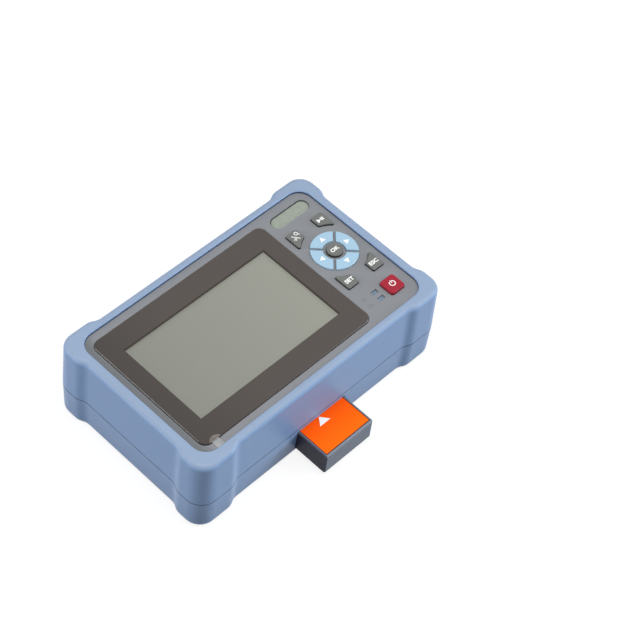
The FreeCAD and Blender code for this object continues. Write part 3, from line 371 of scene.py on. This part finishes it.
def make_plate():
    """Satin nameplate, left bare, with painted shade on the bevel at the back and a painted highlight on
    the one at the front.
    """
    made = Finish("plate_silver")
    mottle = made.noise(420, 4, 0.65)
    face = made.blend(made.fade(mottle), linear(138, 146, 134), linear(148, 155, 144))
    tilt = made.along("Y", normal=True)
    # painted shade on the bevel that faces back
    face = made.blend(made.fade(tilt, *BEVEL), face, linear(70, 76, 74))
    # painted highlight on the bevel that faces front
    forward = made.math("MULTIPLY", tilt, -1.0)
    made.colour(made.blend(made.fade(forward, *BEVEL), face, linear(196, 202, 196)))
    made.rough(made.spread(mottle, 0.3, 0.38))
    made.bump(mottle, 0.008 * MM)
    made.set(Metallic=0.35)
    return made


def make_label():
    """Orange label, redder towards the wall that it slides into, with painted shade in a dark line at
    three sides.
    """
    made = Finish("label_orange")
    low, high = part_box("remote_label")
    inward = made.fade(made.along("Y"), low.y, high.y)
    base = made.blend(inward, linear(255, 106, 4), linear(252, 80, 0))
    fleck = made.math("MULTIPLY", made.fade(made.noise(500, 3)), 0.3)
    base = made.blend(fleck, base, linear(255, 97, 5))
    # painted shade in a line at the front and sides, as of an inset label
    face = made.within(X=(low.x + LABEL_EDGE, high.x - LABEL_EDGE),
                       Y=(low.y + LABEL_EDGE, high.y + LABEL_EDGE))
    made.colour(made.blend(face, linear(34, 32, 38), base))
    made.rough(made.spread(made.noise(200, 3), 0.5, 0.6))
    made.bump(made.noise(60, 2), 0.03 * MM)
    made.set(Specular_IOR_Level=0.08)
    return made


def make_light_window():
    """Unlit status light, a bluish clear plastic."""
    made = Finish("light_window")
    cloud = made.fade(made.noise(900, 3))
    made.colour(made.blend(cloud, linear(98, 116, 134), linear(118, 136, 154)))
    made.rough(made.spread(made.noise(400, 2), 0.2, 0.3))
    return made


finishes = {slot: moulded(slot, **look) for slot, look in plastics.items()}
finishes.update((slot, metal(slot, **look)) for slot, look in metals.items())
finishes["housing_blue"] = make_housing()
finishes["panel_grey"] = make_panel()
finishes["mask_brown"] = make_mask()
finishes["lcd_grey"] = make_lcd()
finishes["clear_glass"] = make_glass()
finishes["film_white"] = make_film()
finishes["plate_silver"] = make_plate()
finishes["label_orange"] = make_label()
finishes["light_window"] = make_light_window()
print_white = moulded("print_white", (240, 240, 238), rough=0.5, variation=0.02, grain=2400,
                      grain_depth=0.004 * MM)

slot_of = {part["node"]: part["material_slot"] for part in frame["record"]["subparts"]}
for name, node in frame["nodes"].items():
    material = finishes[slot_of[name]].material
    if not node.data.materials:
        node.data.materials.append(material)
    for index in range(len(node.data.materials)):
        node.data.materials[index] = material


# ---------------------------------------------------------------- printed and raised marks
PRINT = 0.05 * MM               # thickness of the print
RELIEF = 0.12 * MM              # height of the marks raised on the panel
ARROW_REACH = 9.2               # from the middle of the key ring to its arrows, in millimetres
WORD_SIZE, OK_SIZE = 3.1, 3.0   # height of the letters' line, in millimetres
LETTER_STRETCH = 1.15
LETTER_WEIGHT = 0.1 * MM
LABEL_ARROW = (-2.2 * MM, 15.2 * MM)   # from the label's middle and from the terminator's front
ROW_INSET = 1.6 * MM            # from the ends of the status lights to the marks beside them
MARK_GAP = 5.0 * MM             # from the status lights to those marks


def mark(name, outlines, base, height, body, finish):
    """Thin raised mark from closed outlines of (x, y) points in metres, on the height base."""
    mesh = bpy.data.meshes.new(name)
    shape = bmesh.new()
    for outline in outlines:
        shape.faces.new([shape.verts.new((x, y, base)) for x, y in outline])
    raised = bmesh.ops.extrude_face_region(shape, geom=shape.faces[:])
    lifted = [v for v in raised["geom"] if isinstance(v, bmesh.types.BMVert)]
    bmesh.ops.translate(shape, vec=(0, 0, height), verts=lifted)
    bmesh.ops.recalc_face_normals(shape, faces=shape.faces)
    shape.to_mesh(mesh)
    shape.free()
    made = bpy.data.objects.new(name, mesh)
    scene.collection.objects.link(made)
    made.data.materials.append(finish.material)
    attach(made, body)


def moved(points, x, y, scale=MM, turn=0.0):
    """Points scaled, turned by an angle in degrees and shifted to (x, y)."""
    c, s = math.cos(math.radians(turn)), math.sin(math.radians(turn))
    return [(x + scale * (u * c - v * s), y + scale * (u * s + v * c)) for u, v in points]


def band(points, width, closed=False):
    """Quads of the given width along a run of points, one outline per stretch."""
    quads = []
    for (ax, ay), (bx, by) in zip(points, points[1:] + points[:1] if closed else points[1:]):
        length = math.hypot(bx - ax, by - ay)
        nx, ny = -(by - ay) / length * width / 2, (bx - ax) / length * width / 2
        quads.append([(ax + nx, ay + ny), (ax - nx, ay - ny), (bx - nx, by - ny), (bx + nx, by + ny)])
    return quads


def ring(radius, width, start=0, end=360, steps=28):
    """Outline of a ring or of part of one, as one quad per step."""
    quads = []
    for n in range(steps):
        a = math.radians(start + (end - start) * n / steps)
        b = math.radians(start + (end - start) * (n + 1) / steps)
        quads.append([(math.cos(t) * r, math.sin(t) * r) for t, r in
                      ((a, radius - width / 2), (b, radius - width / 2),
                       (b, radius + width / 2), (a, radius + width / 2))])
    return quads


def top_middle(node):
    """Middle of a node's box, and the height of its top."""
    low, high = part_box(node)
    return (low + high) / 2, high.z


def legend(node, outlines, dx, dy):
    """Symbol in millimetres printed on the top of a key, off its middle by (dx, dy)."""
    middle, top = top_middle(node)
    placed = [moved(outline, middle.x + dx * MM, middle.y + dy * MM) for outline in outlines]
    mark(node + "_mark", placed, top, PRINT, node, print_white)


def word(node, text, size, dx=0.0, dy=0.0):
    """Short legend in letters printed on the top of a key."""
    middle, top = top_middle(node)
    curve = bpy.data.curves.new(node + "_legend", "FONT")
    curve.body = text
    curve.size = size * MM
    curve.align_x = "CENTER"
    curve.align_y = "CENTER"
    curve.extrude = PRINT / 2
    curve.offset = LETTER_WEIGHT
    curve.resolution_u = 6
    letters = bpy.data.objects.new(node + "_legend", curve)
    scene.collection.objects.link(letters)
    letters.location = (middle.x + dx * MM, middle.y + dy * MM, top + PRINT / 2)
    letters.scale = (LETTER_STRETCH, 1.0, 1.0)
    bpy.context.view_layer.update()
    mesh = bpy.data.meshes.new_from_object(letters)
    mesh.transform(letters.matrix_world)
    bpy.data.objects.remove(letters)
    made = bpy.data.objects.new(node + "_legend", mesh)
    scene.collection.objects.link(made)
    made.data.materials.clear()
    made.data.materials.append(print_white.material)
    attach(made, node)


# arrows on the ring of keys, each at the same reach from the ring's middle
arrow = [(-1.6, -1.3), (1.6, -1.3), (0, 1.45)]
ring_middle = top_middle("key_ok")[0]
for key, turn in (("key_up", 0), ("key_left", 90), ("key_down", 180), ("key_right", 270)):
    placed = moved([(u, v + ARROW_REACH) for u, v in arrow], ring_middle.x, ring_middle.y, MM, turn)
    mark(key + "_mark", [placed], top_middle(key)[1], PRINT, key, print_white)
word("key_ok", "OK", OK_SIZE)
word("key_set", "SET", WORD_SIZE, dx=0.3, dy=-1.2)
word("key_escape", "ESC", WORD_SIZE, dy=-1.2)

play = [[(-2.1, -1.3), (-2.1, 1.3), (0.2, 0)],
        [(0.35, -1.0), (0.35, 1.0), (1.0, 1.0), (1.0, -1.0)],
        [(1.35, -1.0), (1.35, 1.0), (2.0, 1.0), (2.0, -1.0)]]
legend("key_run", play, dx=-0.2, dy=1.2)
lens = [moved(quad, 1.3, 1.5, 1.0) for quad in ring(0.95, 0.42, steps=18)]
handle = band([(1.95, 0.8), (2.7, 0.0)], 0.5)
slash = band([(-2.0, 1.5), (1.0, -2.3)], 0.42)
plus = band([(-1.0, 0), (1.0, 0)], 0.4) + band([(0, -0.9), (0, 0.9)], 0.4)
cross = [moved(quad, -1.5, -1.3, 1.0) for quad in plus]
legend("key_tools", lens + handle + slash + cross, dx=0.3, dy=1.4)
power = ring(1.55, 0.5, 118, 422) + band([(0, 0.3), (0, 2.0)], 0.5)
legend("key_power", power, dx=0.2, dy=0.2)

# arrow on the remote's label, pointing into the bay
label_low, label_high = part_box("remote_label")
arrow_x = (label_low.x + label_high.x) / 2 + LABEL_ARROW[0]
arrow_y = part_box("remote_case")[0].y + LABEL_ARROW[1]
mark("label_arrow", [moved([(-3.6, 0), (3.6, 0), (0, 4.6)], arrow_x, arrow_y)],
     label_high.z, PRINT, "remote", print_white)

# raised marks beside the status lights
lights_low, lights_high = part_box("status_lights")
panel_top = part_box("front_panel")[1].z
plug = ring(0.75, 0.22, steps=16) + band([(-1.7, 0), (-0.8, 0)], 0.25) + band([(0.8, 0), (1.6, 0)], 0.25)
cell = band([(-1.3, -0.7), (1.3, -0.7), (1.3, 0.7), (-1.3, 0.7)], 0.22, True)
cell += band([(1.6, -0.3), (1.6, 0.3)], 0.3)
for name, shape, y in (("power_mark", plug, lights_high.y - ROW_INSET),
                       ("cell_mark", cell, lights_low.y + ROW_INSET)):
    mark(name, [moved(quad, lights_low.x - MARK_GAP, y) for quad in shape], panel_top, RELIEF, "housing",
         finishes["panel_grey"])


# ---------------------------------------------------------------- floor, light and camera
FLOOR_HALF = 3.0
FLOOR_DROP = 0.2 * MM           # keeps the floor's face off the object's own
FLOOR_WHITE = 0.84              # glow of the floor, only for the rays below
FLOOR_ALBEDO = (0.17, 0.19)
AMBIENT = 0.14


def seen_directly(tree):
    """1 for the rays that see the background white: camera, glossy and transmission rays."""
    rays = tree.nodes.new("ShaderNodeLightPath")
    total = rays.outputs["Is Camera Ray"]
    for kind in ("Is Glossy Ray", "Is Transmission Ray"):
        larger = tree.nodes.new("ShaderNodeMath")
        larger.operation = "MAXIMUM"
        tree.links.new(total, larger.inputs[0])
        tree.links.new(rays.outputs[kind], larger.inputs[1])
        total = larger.outputs[0]
    return total


floor_mesh = bpy.data.meshes.new("floor")
floor_corners = [(x * FLOOR_HALF, y * FLOOR_HALF, 0) for x, y in ((-1, -1), (1, -1), (1, 1), (-1, 1))]
floor_mesh.from_pydata(floor_corners, [], [(0, 1, 2, 3)])
floor = bpy.data.objects.new("floor", floor_mesh)
floor.location.z = -FLOOR_DROP
scene.collection.objects.link(floor)
paper = Finish("floor_paper")
darker, paler = ((albedo, albedo, albedo, 1) for albedo in FLOOR_ALBEDO)
paper.colour(paper.blend(paper.fade(paper.noise(6, 2)), darker, paler))
paper.set(Roughness=1.0, Specular_IOR_Level=0.0, Emission_Color=(1, 1, 1, 1))
glow = paper.math("MULTIPLY", seen_directly(paper.tree), FLOOR_WHITE)
paper.link(glow, paper.shader.inputs["Emission Strength"])
floor_mesh.materials.append(paper.material)

world = bpy.data.worlds.new("studio")
scene.world = world
world.use_nodes = True
tree = world.node_tree
tree.nodes.clear()
mixed = tree.nodes.new("ShaderNodeMixShader")
tree.links.new(seen_directly(tree), mixed.inputs[0])
for socket, colour, strength in ((mixed.inputs[1], (0.93, 0.96, 1.0, 1), AMBIENT),
                                 (mixed.inputs[2], (1, 1, 1, 1), 1.0)):
    background = tree.nodes.new("ShaderNodeBackground")
    background.inputs["Color"].default_value = colour
    background.inputs["Strength"].default_value = strength
    tree.links.new(background.outputs[0], socket)
world_output = tree.nodes.new("ShaderNodeOutputWorld")
tree.links.new(mixed.outputs[0], world_output.inputs[0])


def softbox(name, place, size, power, aim=(0, 0, 0.02), colour=(1, 1, 1)):
    """Rectangular area light that looks from its place at a point of the object."""
    light = bpy.data.lights.new(name, "AREA")
    light.shape = "RECTANGLE"
    light.size, light.size_y = size
    light.energy = power
    light.color = colour
    lamp = bpy.data.objects.new(name, light)
    scene.collection.objects.link(lamp)
    lamp.location = place
    lamp.rotation_euler = (Vector(aim) - Vector(place)).to_track_quat("-Z", "Y").to_euler()


softbox("overhead", (-0.15, -0.05, 1.3), size=(1.2, 0.9), power=14, aim=(0, 0, 0))
softbox("front_high", (0.75, -0.7, 1.1), size=(0.7, 0.7), power=7)
softbox("left_wall", (-1.05, 0.75, 0.42), size=(0.8, 0.5), power=9)
softbox("right_wall", (1.0, -0.95, 0.36), size=(0.7, 0.4), power=9, colour=(0.84, 0.94, 1.0))

azimuth, elevation, roll = math.radians(-52.3), math.radians(52.0), math.radians(8.4)
distance, focal_px, frame_px = 0.95, 1854.0, 640.0
aim = Vector((0.037, -0.012, 0.025))
back = Vector((math.sin(azimuth) * math.cos(elevation), -math.cos(azimuth) * math.cos(elevation),
               math.sin(elevation)))
camera = bpy.data.objects.new("camera", bpy.data.cameras.new("camera"))
scene.collection.objects.link(camera)
camera.location = aim + back * distance
camera.rotation_euler = ((-back).to_track_quat("-Z", "Y") @ Quaternion((0, 0, 1), roll)).to_euler()
camera.data.sensor_width = 36.0
camera.data.lens = focal_px / frame_px * camera.data.sensor_width
camera.data.clip_start = 0.01
scene.camera = camera
scene.view_settings.view_transform = "Standard"
